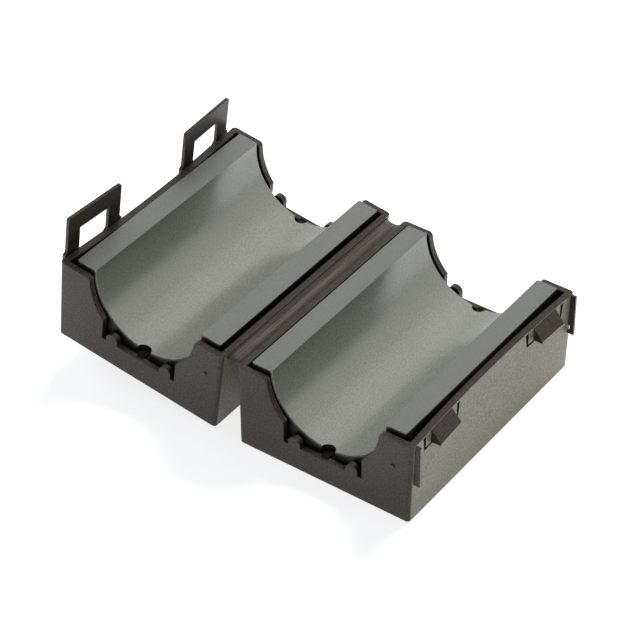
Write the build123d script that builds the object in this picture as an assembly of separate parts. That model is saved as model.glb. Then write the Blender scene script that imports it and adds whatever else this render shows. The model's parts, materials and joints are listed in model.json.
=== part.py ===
from build123d import *
import math
import os

# Clip-on ferrite core, lying open. Millimetres, +Z up, +Y along the cable.
# The shell with the catches lies level; the shell with the loops is held up a little by the living hinge.
# The origin is on the level shell's base, straight below the middle of its bore.

# Ferrite halves
core_width = 34.4
core_length = 51.3
core_height = 17.5
parting_gap = 0.04
bore_radius = 12.7
core_edge_radius = 0.4
bore_mouth_chamfer = 0.25
key_slot_width = 3.0
key_slot_depth = 1.6

# Case shells
hinge_side_wall = 1.25
latch_side_wall = 1.4
end_wall = 1.25
base_wall = 1.4
case_height = 18.6
seat_rib_height = 0.5
seat_rib_width = 2.0
seat_rib_spacing = 21.0
seat_rib_end_gap = 5.0
hinge_to_wall = 1.6
hinge_side_gap = 0.85
end_gap = 0.6
latch_gap_ends = 1.4
latch_gap_middle = 0.5
latch_gap_base = 0.75
base_edge_radius = 0.4
corner_radius = 0.8

# Mouths in the end walls, with their sprung fingers and locating keys
mouth_radius = 12.6
mouth_centre_drop = 0.4
mouth_corner_radius = 0.9
finger_width = 2.7
front_finger_inset = -0.7
rear_finger_inset = 0.05
notch_width = 10.3
notch_floor_drop = 13.9
finger_slit = 1.0
key_width = 1.5
key_clearance = 0.25
key_height = 0.4
key_setback = 0.7
key_reach = 1.4
mark_radius = 0.45
mark_height = 0.2
mark_drop = 7.2
mark_to_core_edge = 1.6

# Latch loops and catches
latch_end_distance = 8.1
loop_width = 14.9
loop_height = 8.75
loop_thickness = 0.7
loop_clearance = 0.35
loop_root_drop = 2.6
loop_root_flare = 0.6
loop_root_fillet = 0.6
loop_corner_radius = 0.4
window_width = 8.2
latch_play = 0.06
window_floor = 1.35
window_corner_chamfer = 0.7
pad_height = 3.5
catch_width = 7.2
catch_reach = 2.1
catch_top_drop = 0.2
catch_face_drop = 3.1
catch_land = 0.5
tongue_width = 10.7
tongue_slit = 0.5
tongue_slit_mouth = 0.95
tongue_band = 0.4
guard_reach = 1.05
guard_thickness = 0.5
guard_setback = 0.8
guard_top_drop = 0.1
guard_height = 9.3
guard_slot_width = 0.4
guard_slot_height = 1.3
guard_slot_lift = 0.7

# Living hinge
open_angle = 8.0
web_end_setback = 1.5
web_top_drop = 0.25
web_edge_thickness = 0.8
web_fold_thickness = 0.35
web_fold_width = 0.9
web_sag = 0.35

# Places, in each half's own frame: x outward and z up from the hinge axis, y back along the cable
core_near = hinge_to_wall + hinge_side_wall + hinge_side_gap
core_far = core_near + core_width
bore_x = core_near + core_width / 2
middle_y = core_length / 2
latch_spacing = core_length - 2 * latch_end_distance
loop_root_width = loop_width + 2 * loop_root_flare
front_y = -end_gap - end_wall
back_y = core_length + end_gap + end_wall
flat_z = -parting_gap / 2
base_z = flat_z - core_height - seat_rib_height - base_wall
rim_z = base_z + case_height
wall_ends_x = core_far + latch_gap_ends + latch_side_wall
wall_middle_x = core_far + latch_gap_middle + latch_side_wall
wall_base_x = core_far + latch_gap_base + latch_side_wall
catch_top_z = rim_z - catch_top_drop
catch_face_z = rim_z - catch_face_drop
loop_root_z = rim_z - loop_root_drop
window_top_z = latch_play - catch_face_z


def prism_y(sketch, start, end):
    """A profile drawn in X and Z, pulled along Y from start to end."""
    return Pos(0, start, 0) * extrude(sketch, amount=end - start, dir=(0, 1, 0))


def xz(*points):
    """A filled outline with straight sides in the XZ plane."""
    return make_face(Plane.XZ * Polyline(*points, close=True))


def latch_wall(z):
    """How far out the latch-side wall stands at height z, at its ends and at its drawn-in middle."""
    rise = (z - base_z) / (rim_z - base_z)
    ends = wall_base_x + rise * (wall_ends_x - wall_base_x)
    middle = wall_base_x + rise * (wall_middle_x - wall_base_x)
    return ends, middle


def shell_outline(z, hinge_inset=0, latch_inset=0, end_inset=0):
    """A shell's plan at height z, its latch side bowed in, or that of its room inside the walls."""
    ends, middle = latch_wall(z)
    near = hinge_to_wall + hinge_inset
    low = front_y + end_inset
    high = back_y - end_inset
    front_corner = (ends - latch_inset, low, z)
    back_corner = (ends - latch_inset, high, z)
    if ends - middle > 0.001:
        latch_side = ThreePointArc(front_corner, (middle - latch_inset, middle_y, z), back_corner)
    else:
        latch_side = Line(front_corner, back_corner)
    front_side = Line((near, low, z), front_corner)
    far_side = Polyline(back_corner, (near, high, z), (near, low, z))
    return make_face(Wire([front_side, latch_side] + far_side.edges()))


def shell_block():
    """The shell's outside: drafted and bowed on the latch side, with rounded corners and base edges."""
    block = loft([shell_outline(base_z), shell_outline(rim_z)], ruled=True)
    upright = block.edges().filter_by(lambda edge: base_z + 1 < edge.center().Z < rim_z - 1)
    block = fillet(upright, corner_radius)
    return fillet(block.faces().sort_by(Axis.Z)[0].edges(), base_edge_radius)


def cavity():
    """The room for the ferrite half, open at the rim."""
    walls = (hinge_side_wall, latch_side_wall, end_wall)
    return loft([shell_outline(base_z + base_wall, *walls), shell_outline(rim_z, *walls)], ruled=True)


def mouth_profile(finger_inset):
    """The opening in an end wall: a half-round mouth, and a notch and two slits that free the fingers.

    The fingers' round tips stand in the bore by finger_inset, or short of it where that is below nought.
    """
    throat_width = notch_width + 2 * (finger_width + finger_slit)
    mouth = Pos(bore_x, -mouth_centre_drop) * Circle(mouth_radius)
    throat = Pos(bore_x, -notch_floor_drop / 2) * Rectangle(throat_width, notch_floor_drop)
    opening = mouth + throat
    tip_radius = finger_width / 2
    tip_x = (notch_width + finger_width) / 2
    tip_z = -math.sqrt((bore_radius - finger_inset + tip_radius) ** 2 - tip_x**2)
    post_height = notch_floor_drop + tip_z
    for side in (-1, 1):
        post = Pos(bore_x + side * tip_x, tip_z - post_height / 2) * Rectangle(finger_width, post_height)
        opening = opening - post - Pos(bore_x + side * tip_x, tip_z) * Circle(tip_radius)
    return Plane.XZ * opening


def locating_key():
    """The small key of the front wall that reaches into the ferrite's end slot."""
    top = flat_z - bore_radius - key_slot_depth + key_clearance + key_height
    low = top - key_height
    foot = -notch_floor_drop - base_wall / 2
    outer = front_y + key_setback
    inner = front_y + end_wall
    tip = inner + key_reach
    profile = Polyline(
        (0, outer, foot),
        (0, outer, top),
        (0, tip, top),
        (0, tip, low),
        (0, inner, low),
        (0, inner, foot),
        close=True,
    )
    return Pos(bore_x - key_width / 2, 0, 0) * extrude(make_face(profile), key_width, dir=(1, 0, 0))


def back_to_front(piece):
    """The same piece at the other end of the core."""
    return mirror(piece, Plane.XZ.offset(-middle_y))


def open_shell(mark_x):
    """What the two shells share: walls, mouths, fingers, keys, seat ribs and the small pip in front."""
    shell = shell_block() - cavity()
    shell -= prism_y(mouth_profile(front_finger_inset), front_y - 1, middle_y)
    shell -= prism_y(mouth_profile(rear_finger_inset), middle_y, back_y + 1)
    mouth_half = math.sqrt(mouth_radius**2 - (rim_z + mouth_centre_drop) ** 2)
    at_rim = shell.edges().filter_by(Axis.Y).filter_by(lambda edge: abs(edge.center().Z - rim_z) < 0.01)
    corners = at_rim.filter_by(lambda edge: abs(abs(edge.center().X - bore_x) - mouth_half) < 0.01)
    shell = fillet(corners, mouth_corner_radius)
    floor_z = base_z + base_wall
    rib = Box(seat_rib_width, core_length - 2 * seat_rib_end_gap, seat_rib_height)
    for side in (-1, 1):
        shell += Pos(bore_x + side * seat_rib_spacing / 2, middle_y, floor_z + seat_rib_height / 2) * rib
    shell += locating_key()
    shell += back_to_front(locating_key())
    mark = Plane.XZ * Pos(mark_x, -mark_drop) * Circle(mark_radius)
    return shell + prism_y(mark, front_y - mark_height, front_y + end_wall / 2)


def latch_yaw():
    """The bowed wall's turn, in plan, where the front latch stands."""
    slope = 2 * (wall_ends_x - wall_middle_x) * (latch_spacing / 2) / middle_y**2
    return math.degrees(math.atan(slope))


def latch_wall_x():
    """The latch wall's outside at the rim, at the middle of a latch."""
    share = (latch_spacing / 2 / middle_y) ** 2
    return wall_middle_x + (wall_ends_x - wall_middle_x) * share


def at_front_latch(piece):
    """Sets a latch piece on the bowed wall. It is drawn about its middle, with x from the wall's outside."""
    return Pos(latch_wall_x(), middle_y - latch_spacing / 2, 0) * Rot(0, 0, latch_yaw()) * piece


def loop_outline():
    """The strap and its wider root, seen along X, with a window that has small corner chamfers."""
    half = loop_width / 2
    top = rim_z + loop_height
    shoulder = rim_z
    strap = Pos(0, (top + shoulder) / 2) * Rectangle(loop_width, top - shoulder)
    strap = fillet(strap.vertices().group_by(Axis.Y)[-1], loop_corner_radius)
    root = Pos(0, (shoulder + loop_root_z) / 2) * Rectangle(loop_root_width, shoulder - loop_root_z)
    outline = strap + root
    at_shoulder = outline.vertices().filter_by(lambda v: abs(v.Y - shoulder) < 0.01)
    inside = at_shoulder.filter_by(lambda v: abs(abs(v.X) - half) < 0.01)
    outline = fillet(inside, min(loop_root_fillet, 0.9 * loop_root_flare))
    low = rim_z - window_floor
    window = Pos(0, (low + window_top_z) / 2) * Rectangle(window_width, window_top_z - low)
    window = chamfer(window.vertices().group_by(Axis.Y)[0], window_corner_chamfer)
    return outline - window


def front_loop():
    """The front latch loop, a thin strap that stands clear of the wall and takes the catch in its window."""
    strap = extrude(Plane.YZ * loop_outline(), amount=loop_thickness)
    return at_front_latch(Pos(loop_clearance, 0, 0) * strap)


def loop_pad():
    """The thickening of the wall that carries a loop's root, faded into the wall below."""
    outer = loop_clearance + loop_thickness
    profile = xz(
        (-latch_side_wall / 2, loop_root_z),
        (outer, loop_root_z),
        (outer, loop_root_z - pad_height / 2),
        (-latch_side_wall / 2, loop_root_z - pad_height),
    )
    return at_front_latch(prism_y(profile, -loop_root_width / 2, loop_root_width / 2))


def catch():
    """The wedge that a loop's window snaps over: a ramp, a narrow land and a flat face below."""
    profile = xz(
        (-latch_side_wall / 2, catch_top_z + catch_top_drop / 2),
        (0, catch_top_z),
        (catch_reach, catch_face_z + catch_land),
        (catch_reach, catch_face_z),
        (-latch_side_wall / 2, catch_face_z),
    )
    return at_front_latch(prism_y(profile, -catch_width / 2, catch_width / 2))


def tongue_slot():
    """The slot on three sides of the sprung tongue that carries a catch, wider towards the rim."""
    half = tongue_width / 2
    top = rim_z - tongue_band
    low = catch_face_z - tongue_slit
    wide = half + tongue_slit_mouth
    narrow = half + tongue_slit
    outline = make_face(Polyline((-wide, top), (wide, top), (narrow, low), (-narrow, low), close=True))
    tongue = Pos(0, (top + catch_face_z) / 2) * Rectangle(tongue_width, top - catch_face_z)
    slot = extrude(Plane.YZ * (outline - tongue), amount=latch_side_wall, both=True)
    return at_front_latch(Pos(-latch_side_wall / 2, 0, 0) * slot)


def front_guard():
    """The thin flange at the front end that shields the loop's side."""
    top = rim_z - guard_top_drop
    tip = wall_ends_x + guard_reach
    root = wall_base_x - latch_side_wall / 2
    profile = xz((root, top), (tip, top), (tip, top - guard_height), (root, top - guard_height))
    start = front_y + guard_setback
    return prism_y(profile, start, start + guard_thickness)


def rear_guard():
    """The same flange at the rear end, with a small slot beside the wall near its foot."""
    slot_z = rim_z - guard_top_drop - guard_height + guard_slot_lift + guard_slot_height / 2
    slot_x = latch_wall(slot_z)[0] + guard_slot_width / 2
    slot_y = back_y - guard_setback - guard_thickness / 2
    slot = Box(guard_slot_width, 3 * guard_thickness, guard_slot_height)
    return back_to_front(front_guard()) - Pos(slot_x, slot_y, slot_z) * slot


def shell_with_loops():
    pads = loop_pad()
    return open_shell(core_near + mark_to_core_edge) + pads + back_to_front(pads)


def shell_with_catches():
    shell = open_shell(core_far - mark_to_core_edge)
    for piece in (tongue_slot(), back_to_front(tongue_slot())):
        shell -= piece
    for piece in (catch(), back_to_front(catch()), front_guard(), rear_guard()):
        shell += piece
    return shell


def ferrite_half():
    """Half of a square core with a round bore, its back edges rounded, a key slot at each end."""
    block = Pos(bore_x, middle_y, flat_z - core_height / 2) * Box(core_width, core_length, core_height)
    block = fillet(block.edges().filter_by(Axis.Z), core_edge_radius)
    block = fillet(block.faces().sort_by(Axis.Z)[0].edges(), core_edge_radius)
    bore = Pos(bore_x, middle_y, flat_z) * Rot(90, 0, 0) * Cylinder(bore_radius, core_length + 2)
    block -= bore
    arcs = block.edges().filter_by(GeomType.CIRCLE)
    mouths = arcs.filter_by(lambda edge: abs(edge.radius - bore_radius) < 0.01)
    block = chamfer(mouths, bore_mouth_chamfer)
    slot_radius = key_slot_width / 2
    slot_height = key_slot_depth + slot_radius
    slot_z = flat_z - bore_radius - key_slot_depth + slot_height / 2
    slot = Pos(bore_x, 0, slot_z) * Cylinder(slot_radius, slot_height)
    return block - slot - back_to_front(slot)


def hinge_web():
    """The thin web between the two walls, dished to a fold line, its far side following the raised shell."""
    top = rim_z - web_top_drop
    low = top - web_edge_thickness
    fold_top = top - web_sag
    fold_low = fold_top - web_fold_thickness
    half = [
        (hinge_to_wall, top),
        (web_fold_width / 2, fold_top),
        (web_fold_width / 2, fold_low),
        (hinge_to_wall, low),
    ]
    turned = [Vector(-x, 0, z).rotate(Axis.Y, open_angle) for x, z in half]
    far = [(turned[k].X, turned[k].Z) for k in (1, 0, 3, 2)]
    outline = xz(half[0], half[1], *far, half[2], half[3])
    return prism_y(outline, front_y + web_end_setback, back_y - web_end_setback)


def level(piece):
    """Puts a piece of the level half in its place above the origin."""
    return Pos(-bore_x, -middle_y, -base_z) * piece


def raised(piece):
    """Puts a piece of the raised half in its place: mirrored across the hinge axis, turned up about it."""
    return level(Rot(0, open_angle, 0) * mirror(piece, Plane.YZ))


parts = {
    "shell_with_catches": level(shell_with_catches()),
    "shell_with_loops": raised(shell_with_loops()),
    "living_hinge": level(hinge_web()),
    "ferrite_half_level": level(ferrite_half()),
    "ferrite_half_raised": raised(ferrite_half()),
    "latch_loop_front": raised(front_loop()),
    "latch_loop_rear": raised(back_to_front(front_loop())),
}

os.makedirs("parts", exist_ok=True)
for name, solid in parts.items():
    export_step(solid, f"parts/{name}.step")
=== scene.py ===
"""Finishes of the clip-on ferrite core, its hinge web, and the studio that it is shown in."""

import bmesh
import bpy
import json
import math

from mathutils import Matrix, Vector


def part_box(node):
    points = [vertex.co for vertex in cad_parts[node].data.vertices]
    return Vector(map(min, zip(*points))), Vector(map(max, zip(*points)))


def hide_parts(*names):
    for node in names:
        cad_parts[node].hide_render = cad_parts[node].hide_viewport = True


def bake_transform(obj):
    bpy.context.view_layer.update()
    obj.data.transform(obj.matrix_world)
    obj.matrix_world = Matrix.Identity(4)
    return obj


MM = 0.001

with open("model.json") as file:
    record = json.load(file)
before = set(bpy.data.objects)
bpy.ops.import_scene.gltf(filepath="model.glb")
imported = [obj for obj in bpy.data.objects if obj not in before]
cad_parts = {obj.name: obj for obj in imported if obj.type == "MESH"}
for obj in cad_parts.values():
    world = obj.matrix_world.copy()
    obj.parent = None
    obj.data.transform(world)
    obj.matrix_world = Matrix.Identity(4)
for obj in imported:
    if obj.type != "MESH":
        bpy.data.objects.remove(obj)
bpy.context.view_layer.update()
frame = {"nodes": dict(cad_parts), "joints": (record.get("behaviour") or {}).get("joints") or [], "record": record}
solids = frame["nodes"]


def named(rows, name):
    return next(row for row in rows if row["name"] == name)


# The hinge axis, and how far the raised half leans from flat, which is the hinge's lowest limit
case_hinge = named(frame["joints"], "case_hinge")
HINGE_X, _, HINGE_Z = case_hinge["pos_m"]
OPEN_ANGLE = math.radians(-case_hinge["range_deg"][0])

# The bore: how far outward from the hinge axis its own axis lies. The origin lies under the level one.
BORE_CENTRE = -HINGE_X
BORE_RADIUS = named(frame["record"]["mounts"], "bore_level")["dims"]["r_mm"] * MM

# How far outward from the hinge axis a shell's latch side starts and its hinge side ends: the bounds of the
# reflection painted on those sides
LATCH_SIDE, HINGE_SIDE = 39.75 * MM, 2.2 * MM

# The small key at the foot of each mouth, darkened as painted shade of its slot: the distances between which this
# painted shade fades out
KEY_ASIDE = (0.95 * MM, 1.3 * MM)
KEY_FROM_AXIS = (BORE_RADIUS + 1.1 * MM, BORE_RADIUS + 1.25 * MM)

# The web's section, and the thinner fold in its middle
WEB_HALF_WIDTH, WEB_TOP, WEB_THICKNESS = 1.6 * MM, -1.07 * MM, 0.8 * MM
FOLD_HALF_WIDTH, FOLD_SAG, FOLD_THICKNESS = 0.45 * MM, 0.35 * MM, 0.35 * MM
SECTION_STEPS, FOLD_SHARE, LENGTH_STEPS = 12, 0.28, 40

# The darker and the paler end of each finish's patches
BLACK_NYLON = ((0.003, 0.0025, 0.002), (0.033, 0.025, 0.019))
# Paler tone painted on the shells' long outer sides as their reflection of the bright floor
SIDE_REFLECTION_NYLON = ((0.182, 0.177, 0.132), (0.465, 0.452, 0.348))
GROUND_FERRITE = ((0.052, 0.053, 0.045), (0.128, 0.130, 0.116))
FIRED_FERRITE = ((0.125, 0.127, 0.112), (0.250, 0.254, 0.228))
# The ferrite's brown end faces, darkened further by painted shade there and in the key slots
FERRITE_END_AND_SHADE = ((0.045, 0.036, 0.031), (0.080, 0.064, 0.056))

# Single tones
# Pale tone painted along the web's fold as its highlight
FOLD_HIGHLIGHT = (0.095, 0.080, 0.077)
# Near-black painted shade on the keys, which sit in shaded slots
KEY_SHADE = (0.014, 0.011, 0.009)
# Painted highlight on the nylon's sharp edges, then pale dust specks
EDGE_HIGHLIGHT, DUST_SPECKS = (0.14, 0.125, 0.11), (0.22, 0.20, 0.18)
# Painted highlight along the ferrite bore's edges, then dark pits
FERRITE_EDGE_HIGHLIGHT, FERRITE_PITS = (0.20, 0.20, 0.19), (0.02, 0.02, 0.018)

# The studio
FLOOR_HALF_SIZE, FLOOR_GAP = 1.5, 0.02 * MM
LAMP_SIZE, LAMP_AIM = (0.6, 0.5), Vector((0, 0, 10 * MM))


class Link:
    """A shader socket that takes part in Python arithmetic."""

    def __init__(self, nodes, socket):
        self.nodes = nodes
        self.socket = socket

    def _math(self, operation, first, second):
        return self.nodes.add("ShaderNodeMath", {"operation": operation}, {0: first, 1: second}, 0)

    def __add__(self, other):
        return self._math("ADD", self, other)

    def __radd__(self, other):
        return self._math("ADD", other, self)

    def __sub__(self, other):
        return self._math("SUBTRACT", self, other)

    def __rsub__(self, other):
        return self._math("SUBTRACT", other, self)

    def __mul__(self, other):
        return self._math("MULTIPLY", self, other)

    def __rmul__(self, other):
        return self._math("MULTIPLY", other, self)

    def clamped(self):
        return self.nodes.add("ShaderNodeClamp", {}, {"Value": self}, 0)


class Nodes:
    """The shader nodes of a material or of the world."""

    def __init__(self, owner):
        owner.use_nodes = True
        self.tree = owner.node_tree
        self.tree.nodes.clear()

    def add(self, kind, settings, sockets, output=None):
        """A new node, its settings first and then its sockets' values or links; gives the outputs named."""
        made = self.tree.nodes.new(kind)
        for key, value in settings.items():
            setattr(made, key, value)
        for key, value in sockets.items():
            if isinstance(value, Link):
                self.tree.links.new(value.socket, made.inputs[key])
            else:
                made.inputs[key].default_value = value
        if isinstance(output, tuple):
            return [Link(self, made.outputs[each]) for each in output]
        return None if output is None else Link(self, made.outputs[output])

    def seen(self):
        """1 for what the camera, a reflection or glass shows, 0 for what lights the object."""
        rays = ("Is Camera Ray", "Is Glossy Ray", "Is Transmission Ray")
        camera, glossy, through = self.add("ShaderNodeLightPath", {}, {}, rays)
        return (camera + glossy + through).clamped()


class Finish(Nodes):
    """A material of the object and the patterns that it is made from."""

    def __init__(self, name):
        self.material = bpy.data.materials.new(name)
        super().__init__(self.material)
        self.place = self.add("ShaderNodeTexCoord", {}, {}, "Object")

    def steps(self, value, low, high):
        """Smooth change from 0 where value is low to 1 where it is high."""
        sockets = {"Value": value, "From Min": low, "From Max": high}
        return self.add("ShaderNodeMapRange", {"interpolation_type": "SMOOTHSTEP"}, sockets, 0)

    def blend(self, share, first, second):
        """First colour where share is 0, second where it is 1."""
        first, second = (tone if isinstance(tone, Link) else (*tone, 1) for tone in (first, second))
        return self.add("ShaderNodeMix", {"data_type": "RGBA"}, {0: share, 6: first, 7: second}, 2)

    def root(self, value):
        return self.add("ShaderNodeMath", {"operation": "SQRT"}, {0: value}, 0)

    def noise(self, size, detail, roughness=0.55, stretch=None):
        """Noise from 0 to 1 whose patches are about size across, in millimetres."""
        place = self.place
        if stretch:
            place = self.add("ShaderNodeMapping", {}, {"Vector": place, "Scale": stretch}, "Vector")
        sockets = {"Vector": place, "Scale": 1 / (size * MM), "Detail": detail, "Roughness": roughness}
        return self.add("ShaderNodeTexNoise", {}, sockets, 0)

    def mottle(self, size):
        """Small patches with firmer borders than plain noise has."""
        return self.steps(self.noise(size, 2.0), 0.32, 0.68)

    def speckle(self, size, share):
        """1 in small round specks, 0 elsewhere."""
        sockets = {"Vector": self.place, "Scale": 1 / (size * MM)}
        distance, tint = self.add("ShaderNodeTexVoronoi", {}, sockets, ("Distance", "Color"))
        pick = self.add("ShaderNodeSeparateColor", {}, {"Color": tint}, 0)
        return self.steps(distance, 0.12, 0.06) * self.steps(pick, share, share * 0.6)

    def edge_light(self, radius):
        """About 1 on sharp outer edges, 0 on flats, where highlights are painted, with the rounded normal that
        goes with it.
        """
        soft = self.add("ShaderNodeBevel", {"samples": 6}, {"Radius": radius * MM}, "Normal")
        true = self.add("ShaderNodeNewGeometry", {}, {}, "Normal")
        turn = self.add("ShaderNodeVectorMath", {"operation": "DOT_PRODUCT"}, {0: soft, 1: true}, "Value")
        return self.steps(turn, 0.985, 0.8), soft

    def half_frame(self, half):
        """How far a point lies outward and upward from the hinge axis, along its own half of the case."""
        x, z = self.add("ShaderNodeSeparateXYZ", {}, {"Vector": self.place}, ("X", "Z"))
        across, up = x - HINGE_X, z - HINGE_Z
        if half == "level":
            return across, up
        sine, cosine = math.sin(OPEN_ANGLE), math.cos(OPEN_ANGLE)
        return up * sine - across * cosine, across * sine + up * cosine

    def around_bore(self, half):
        """How far a point lies aside from its bore, above the hinge axis, and away from the bore's axis."""
        outward, upward = self.half_frame(half)
        aside = outward - BORE_CENTRE
        return aside, upward, self.root(aside * aside + upward * upward)

    def surface(self, tone, roughness, height, depth, normal, gloss):
        """The shader itself: height is a bump value and depth its size in millimetres."""
        relief = {"Height": height, "Distance": depth * MM, "Strength": 1.0, "Normal": normal}
        bump = self.add("ShaderNodeBump", {}, relief, "Normal")
        values = {"Base Color": tone, "Roughness": roughness, "Normal": bump, **gloss}
        shader = self.add("ShaderNodeBsdfPrincipled", {}, values, "BSDF")
        self.add("ShaderNodeOutputMaterial", {}, {"Surface": shader})
        return self.material


def highlit_fold(finish):
    """The web's fold, with a highlight painted pale in lines along it."""
    across, _ = finish.half_frame("level")
    lines = finish.steps(finish.noise(0.32, 3.0, 0.6, (1.0, 0.02, 1.0)), 0.42, 0.66)
    folded = finish.steps(across, -1.75 * MM, -1.2 * MM) * finish.steps(across, 0.8 * MM, -0.2 * MM)
    return folded * (0.15 + 0.85 * lines)


def painted_side_reflection(finish, half):
    """The outer faces of a shell's two long walls, where a paler tone is painted as their reflection of the bright
    floor.
    """
    outward, _ = finish.half_frame(half)
    normal = finish.add("ShaderNodeTexCoord", {}, {}, "Normal")
    facing = finish.add("ShaderNodeSeparateXYZ", {}, {"Vector": normal}, "X")
    latch_side = finish.steps(outward, LATCH_SIDE - 0.15 * MM, LATCH_SIDE + 0.15 * MM)
    hinge_side = finish.steps(outward, HINGE_SIDE + 0.3 * MM, HINGE_SIDE - 0.3 * MM)
    return (latch_side + hinge_side) * finish.steps(facing * facing, 0.80, 0.92)


def shaded_keys(finish, half):
    """The small keys at the feet of a shell's two mouths, where painted shade darkens them."""
    aside, _, from_axis = finish.around_bore(half)
    start, end = KEY_ASIDE
    across = finish.steps(aside * aside, end * end, start * start)
    start, end = KEY_FROM_AXIS
    return across * finish.steps(from_axis, end, start)


def moulded_nylon(name, half=None):
    """Black nylon with a fine spark-eroded grain and painted highlights on its edges, and on a shell paler long
    sides painted as their reflection of the bright floor.
    """
    finish = Finish(name)
    grain = finish.noise(0.16, 4.0, 0.65)
    mottle = finish.mottle(0.34)
    cloud = finish.noise(6.0, 3.0)
    flow = finish.noise(1.4, 3.0, 0.6, (1.0, 0.25, 1.0))
    edge, soft = finish.edge_light(0.16)
    patches = (0.6 * mottle + 0.2 * cloud + 0.2 * flow).clamped()
    tone = finish.blend(patches, *BLACK_NYLON)
    sheen = 0.42 * mottle
    gloss = {"IOR": 1.43, "Specular Tint": (1.0, 0.82, 0.70, 1), "Coat Roughness": 0.35}
    if half is None:
        # Painted highlight in lines along the web's fold
        tone = finish.blend(highlit_fold(finish), tone, FOLD_HIGHLIGHT)
    else:
        # Painted reflection: the shells' long outer sides take a paler tone for the bright floor they reflect
        tone = finish.blend(painted_side_reflection(finish, half), tone, finish.blend(patches, *SIDE_REFLECTION_NYLON))
        # Painted shade on the keys: a near-black tone, no coat, and Metallic so that their dark colour also
        # darkens their reflection
        key = shaded_keys(finish, half)
        tone = finish.blend(key, tone, KEY_SHADE)
        sheen = sheen * (1 - key)
        gloss["Metallic"] = key
    gloss["Coat Weight"] = sheen
    # Painted highlight: sharp outer edges lightened as if they catch the light
    tone = finish.blend(0.35 * edge * grain, tone, EDGE_HIGHLIGHT)
    tone = finish.blend(0.4 * finish.speckle(1.3, 0.09), tone, DUST_SPECKS)
    roughness = 0.36 + 0.10 * grain + 0.12 * mottle
    return finish.surface(tone, roughness, 0.5 * grain + 0.5 * mottle, 0.018, soft, gloss)


def sintered_ferrite(name, half):
    """Grey sintered ferrite: flats ground dark, the bore smoother and paler as fired, the ends brown and darkened
    further by painted shade, which also fills the key slots.
    """
    finish = Finish(name)
    grain = finish.noise(0.14, 5.0, 0.7)
    mottle = finish.mottle(0.27)
    cloud = finish.noise(9.0, 3.0)
    streak = finish.noise(2.5, 4.0, 0.6, (1.0, 0.12, 1.0))
    edge, soft = finish.edge_light(0.04)
    patches = (0.6 * mottle + 0.2 * cloud + 0.2 * streak).clamped()
    _, upward, from_axis = finish.around_bore(half)
    below_flats = finish.steps(upward, -0.04 * MM, -0.1 * MM)
    bored = below_flats * finish.steps(from_axis, BORE_RADIUS + 0.35 * MM, BORE_RADIUS + 0.15 * MM)
    well_below = finish.steps(upward, -0.25 * MM, -0.55 * MM)
    # End faces, chamfer and key slots: the real brown end tone with painted shade on it
    ends = well_below * finish.steps(from_axis, BORE_RADIUS + 0.05 * MM, BORE_RADIUS + 0.10 * MM)
    ground = finish.blend(patches, *GROUND_FERRITE)
    fired = finish.blend(patches, *FIRED_FERRITE)
    tone = finish.blend(bored, ground, fired)
    tone = finish.blend(ends, tone, finish.blend(patches, *FERRITE_END_AND_SHADE))
    # Painted highlight along the bore's edges
    tone = finish.blend(0.1 * edge * grain * bored, tone, FERRITE_EDGE_HIGHLIGHT)
    tone = finish.blend(0.5 * finish.speckle(1.8, 0.06), tone, FERRITE_PITS)
    roughness = 0.36 + 0.10 * grain + 0.04 * cloud - 0.17 * bored
    # Metallic on the end faces and slots darkens their reflection too, as painted shade
    gloss = {"IOR": 2.1, "Specular Tint": (0.97, 1.0, 0.92, 1), "Metallic": ends}
    return finish.surface(tone, roughness, grain, 0.008, soft, gloss)


def dress(piece, material):
    """Gives a piece its material."""
    piece.data.materials.clear()
    piece.data.materials.append(material)


nylon = moulded_nylon("moulded nylon")
dress(solids["shell_with_catches"], moulded_nylon("moulded nylon, level shell", "level"))
dress(solids["shell_with_loops"], moulded_nylon("moulded nylon, raised shell", "raised"))
dress(solids["ferrite_half_level"], sintered_ferrite("sintered ferrite, level half", "level"))
dress(solids["ferrite_half_raised"], sintered_ferrite("sintered ferrite, raised half", "raised"))
for name in ("latch_loop_front", "latch_loop_rear", "living_hinge"):
    dress(solids[name], nylon)


def web_side():
    """The web's section from its fold out to a rim: how far outward it is, its top and its bottom."""
    points = []
    for step in range(SECTION_STEPS + 1):
        share = step / SECTION_STEPS
        if share < FOLD_SHARE:
            outward = FOLD_HALF_WIDTH * share / FOLD_SHARE
            top, thickness = WEB_TOP - FOLD_SAG, FOLD_THICKNESS
        else:
            along = (share - FOLD_SHARE) / (1 - FOLD_SHARE)
            ease = along * along * (3 - 2 * along)
            outward = FOLD_HALF_WIDTH + (WEB_HALF_WIDTH - FOLD_HALF_WIDTH) * along
            top = WEB_TOP - FOLD_SAG * (1 - ease)
            thickness = FOLD_THICKNESS + (WEB_THICKNESS - FOLD_THICKNESS) * ease
        points.append((outward, top, top - thickness))
    return points


def web_section():
    """Upper and lower points about the hinge axis, from the raised half's rim across to the level one's."""
    sine, cosine = math.sin(OPEN_ANGLE), math.cos(OPEN_ANGLE)
    side = web_side()
    raised = [
        [(z * sine - outward * cosine, outward * sine + z * cosine) for z in heights]
        for outward, *heights in reversed(side)
    ]
    level = [[(outward, z) for z in heights] for outward, *heights in side[1:]]
    return raised + level


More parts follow.
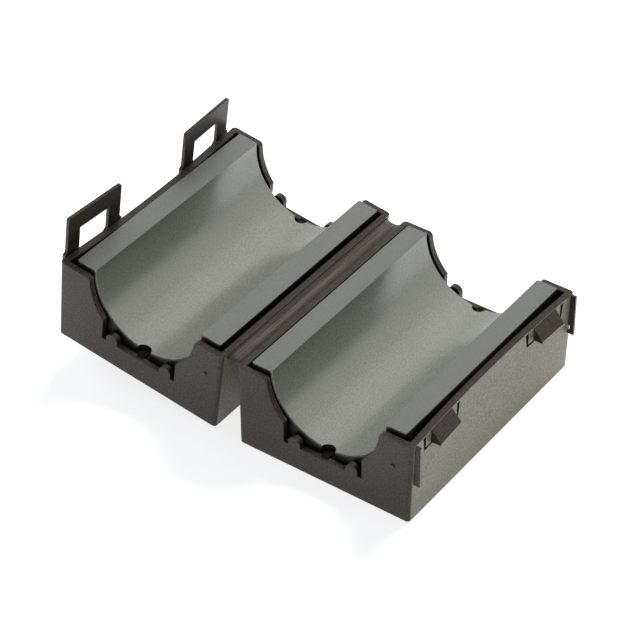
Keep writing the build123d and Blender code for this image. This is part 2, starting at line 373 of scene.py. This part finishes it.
def hinge_web():
    """The thin moulded web between the two rims, with finer steps across its fold than the solid has."""
    low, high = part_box("living_hinge")
    section = web_section()
    shape = bmesh.new()
    columns = []
    for step in range(LENGTH_STEPS + 1):
        y = low.y + (high.y - low.y) * step / LENGTH_STEPS
        places = [[(HINGE_X + x, y, HINGE_Z + z) for x, z in pair] for pair in section]
        columns.append([[shape.verts.new(place) for place in pair] for pair in places])
    across = range(len(section) - 1)
    for near, far in zip(columns, columns[1:]):
        for k in across:
            for skin in (0, 1):
                shape.faces.new((near[k][skin], near[k + 1][skin], far[k + 1][skin], far[k][skin]))
        for k in (0, -1):
            shape.faces.new((near[k][0], near[k][1], far[k][1], far[k][0]))
    for column in (columns[0], columns[-1]):
        for k in across:
            shape.faces.new((column[k][0], column[k + 1][0], column[k + 1][1], column[k][1]))
    bmesh.ops.recalc_face_normals(shape, faces=shape.faces[:])
    mesh = bpy.data.meshes.new("hinge_web")
    shape.to_mesh(mesh)
    shape.free()
    for face in mesh.polygons:
        face.use_smooth = abs(face.normal.y) < 0.5
    web = bpy.data.objects.new("hinge_web", mesh)
    bpy.context.scene.collection.objects.link(web)
    dress(web, nylon)
    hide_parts("living_hinge")
    level_rim = (HINGE_X + WEB_HALF_WIDTH, 0, HINGE_Z)
    raised_rim = (HINGE_X - WEB_HALF_WIDTH, 0, HINGE_Z)
    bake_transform(web)


hinge_web()


def paper_floor():
    """A plain pale floor that looks white and keeps the object's shadow."""
    material = bpy.data.materials.new("white paper")
    paper = Nodes(material)
    matt = paper.add("ShaderNodeBsdfDiffuse", {}, {"Color": (0.65, 0.65, 0.65, 1)}, 0)
    glow = paper.add("ShaderNodeEmission", {}, {"Color": (1, 1, 1, 1), "Strength": 0.80}, 0)
    both = paper.add("ShaderNodeAddShader", {}, {0: matt, 1: glow}, 0)
    mixed = paper.add("ShaderNodeMixShader", {}, {0: paper.seen(), 1: matt, 2: both}, 0)
    paper.add("ShaderNodeOutputMaterial", {}, {"Surface": mixed})

    mesh = bpy.data.meshes.new("floor")
    shape = bmesh.new()
    bmesh.ops.create_grid(shape, x_segments=4, y_segments=4, size=FLOOR_HALF_SIZE)
    shape.to_mesh(mesh)
    shape.free()
    mesh.materials.append(material)
    floor = bpy.data.objects.new("floor", mesh)
    floor.location = (0, 0, -FLOOR_GAP)
    bpy.context.scene.collection.objects.link(floor)


def softbox(name, place, power, tint):
    """A broad lamp that points at the object and shows in none of its reflections."""
    data = bpy.data.lights.new(name, "AREA")
    data.shape = "RECTANGLE"
    data.size, data.size_y = LAMP_SIZE
    data.energy = power
    data.color = tint
    lamp = bpy.data.objects.new(name, data)
    lamp.location = place
    lamp.rotation_mode = "QUATERNION"
    lamp.rotation_quaternion = (LAMP_AIM - Vector(place)).to_track_quat("-Z", "Y")
    lamp.visible_glossy = False
    bpy.context.scene.collection.objects.link(lamp)


def white_world():
    """White where it is seen, and only faint as a light."""
    world = bpy.data.worlds.new("studio")
    bpy.context.scene.world = world
    sky = Nodes(world)
    strength = 0.10 + 0.90 * sky.seen()
    back = sky.add("ShaderNodeBackground", {}, {"Color": (1, 1, 1, 1), "Strength": strength}, 0)
    sky.add("ShaderNodeOutputWorld", {}, {"Surface": back})


def photograph_camera():
    """The photograph's viewpoint, as fitted to the edges that it shows."""
    data = bpy.data.cameras.new("photograph")
    data.sensor_width = 36
    data.lens = 144.294
    data.clip_start = 0.01
    data.clip_end = 10
    camera = bpy.data.objects.new("photograph", data)
    right = Vector((0.81176, 0.58396, -0.00641))
    down = Vector((0.36507, -0.51598, -0.77491))
    forward = Vector((-0.45582, 0.62671, -0.63204))
    turn = Matrix((right, -down, -forward)).transposed()
    camera.matrix_world = Matrix.Translation((0.20594, -0.31099, 0.32463)) @ turn.to_4x4()
    bpy.context.scene.collection.objects.link(camera)
    bpy.context.scene.camera = camera


bpy.context.scene.view_settings.view_transform = "Standard"
paper_floor()
white_world()
softbox("rear softbox", (-0.06, 0.68, 0.58), 11.2, (1, 1, 1))
softbox("left fill", (-0.75, 0.05, 0.45), 2.2, (0.60, 0.82, 1.0))
photograph_camera()
